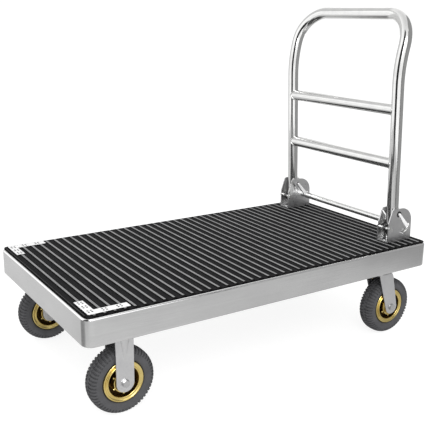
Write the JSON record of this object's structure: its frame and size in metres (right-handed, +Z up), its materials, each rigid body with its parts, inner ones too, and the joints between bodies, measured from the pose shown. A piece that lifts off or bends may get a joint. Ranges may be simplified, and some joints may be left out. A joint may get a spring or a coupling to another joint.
{
  "type": "flatbed platform truck",
  "caption": "Flatbed platform truck with a ribbed mat on a steel tray deck, a folding tube handle with a foot-bar lock, and fixed and swivel casters.",
  "frame": {"origin": "on the floor under the centre of the deck", "axes": "+X towards the folding handle, along the deck; +Y across the deck; +Z up"},
  "size_m": [1.1, 0.6, 0.9533],
  "materials": {
    "tray_steel": "fine brushed stainless sheet",
    "tube_stainless": "polished stainless tube, lightly brushed lengthwise",
    "plated_steel": "zinc-plated pressed steel",
    "hardware_bright": "bright zinc-plated bolts, pins and bearings",
    "mat_rubber": "matt black ribbed mat, ridge tops worn grey",
    "black_plastic": "black moulded bush",
    "guard_white": "white corner plate with dark rivets",
    "tyre_rubber": "dark grey knobbly tyre",
    "rim_gold": "gold passivated pressed rim"
  },
  "bodies": {
    "deck": {"deck_tray": "tray_steel", "frame_rail_left": "tray_steel", "frame_rail_right": "tray_steel", "cross_member_front": "tray_steel", "cross_member_middle": "tray_steel", "cross_member_rear": "tray_steel", "anti_slip_mat": "mat_rubber", "corner_guard_left": "guard_white", "corner_guard_right": "guard_white", "hinge_bolt_left": "hardware_bright", "hinge_bolt_right": "hardware_bright", "lock_spring_left": "hardware_bright", "lock_spring_right": "hardware_bright", "kingpin_left": "hardware_bright", "kingpin_right": "hardware_bright", "front_axle_left": "hardware_bright", "front_axle_right": "hardware_bright", "hinge_bracket_left": "plated_steel", "hinge_bracket_right": "plated_steel", "fixed_fork_left": "plated_steel", "fixed_fork_right": "plated_steel", "swivel_plate_left": "plated_steel", "swivel_plate_right": "plated_steel", "swivel_race_left": "plated_steel", "swivel_race_right": "plated_steel", "lock_bush_left_outer": "black_plastic", "lock_bush_left_inner": "black_plastic", "lock_bush_right_outer": "black_plastic", "lock_bush_right_inner": "black_plastic"},
    "handle": {"handle_tube": "tube_stainless", "cross_bar_lower": "tube_stainless", "cross_bar_upper": "tube_stainless", "hinge_lug_left": "plated_steel", "hinge_lug_right": "plated_steel"},
    "lock": {"lock_bar": "tube_stainless", "lock_rod": "tube_stainless", "lock_arm_left_outer": "hardware_bright", "lock_arm_left_inner": "hardware_bright", "lock_arm_right_outer": "hardware_bright", "lock_arm_right_inner": "hardware_bright"},
    "swivel_left": {"swivel_fork_left": "plated_steel", "rear_axle_left": "hardware_bright"},
    "front_left_wheel": {"front_left_tyre": "tyre_rubber", "front_left_rim": "rim_gold", "front_left_bearing_outer": "hardware_bright", "front_left_bearing_inner": "hardware_bright"},
    "rear_left_wheel": {"rear_left_tyre": "tyre_rubber", "rear_left_rim": "rim_gold", "rear_left_bearing_outer": "hardware_bright", "rear_left_bearing_inner": "hardware_bright"},
    "swivel_right": {"swivel_fork_right": "plated_steel", "rear_axle_right": "hardware_bright"},
    "front_right_wheel": {"front_right_tyre": "tyre_rubber", "front_right_rim": "rim_gold", "front_right_bearing_outer": "hardware_bright", "front_right_bearing_inner": "hardware_bright"},
    "rear_right_wheel": {"rear_right_tyre": "tyre_rubber", "rear_right_rim": "rim_gold", "rear_right_bearing_outer": "hardware_bright", "rear_right_bearing_inner": "hardware_bright"}
  },
  "joints": [
    {"name": "handle_fold", "type": "hinge", "parent": "deck", "child": "handle", "pos_m": [0.434, 0, 0.324], "axis": [0, -1, 0], "range_deg": [0, 87.4]},
    {"name": "lock_release", "type": "hinge", "parent": "deck", "child": "lock", "pos_m": [0.466, 0, 0.366], "axis": [0, -1, 0], "range_deg": [0, 8], "stiffness_Nm_per_rad": 4, "springref_deg": -17.19},
    {"name": "swivel_left_turn", "type": "hinge", "parent": "deck", "child": "swivel_left", "pos_m": [0.405, -0.243, 0.19], "axis": [0, 0, 1], "continuous": true},
    {"name": "front_left_roll", "type": "hinge", "parent": "deck", "child": "front_left_wheel", "pos_m": [-0.442, -0.243, 0.085], "axis": [0, 1, 0], "continuous": true},
    {"name": "rear_left_roll", "type": "hinge", "parent": "swivel_left", "child": "rear_left_wheel", "pos_m": [0.443, -0.243, 0.085], "axis": [0, 1, 0], "continuous": true},
    {"name": "swivel_right_turn", "type": "hinge", "parent": "deck", "child": "swivel_right", "pos_m": [0.405, 0.243, 0.19], "axis": [0, 0, 1], "continuous": true},
    {"name": "front_right_roll", "type": "hinge", "parent": "deck", "child": "front_right_wheel", "pos_m": [-0.442, 0.243, 0.085], "axis": [0, 1, 0], "continuous": true},
    {"name": "rear_right_roll", "type": "hinge", "parent": "swivel_right", "child": "rear_right_wheel", "pos_m": [0.443, 0.243, 0.085], "axis": [0, 1, 0], "continuous": true}
  ]
}
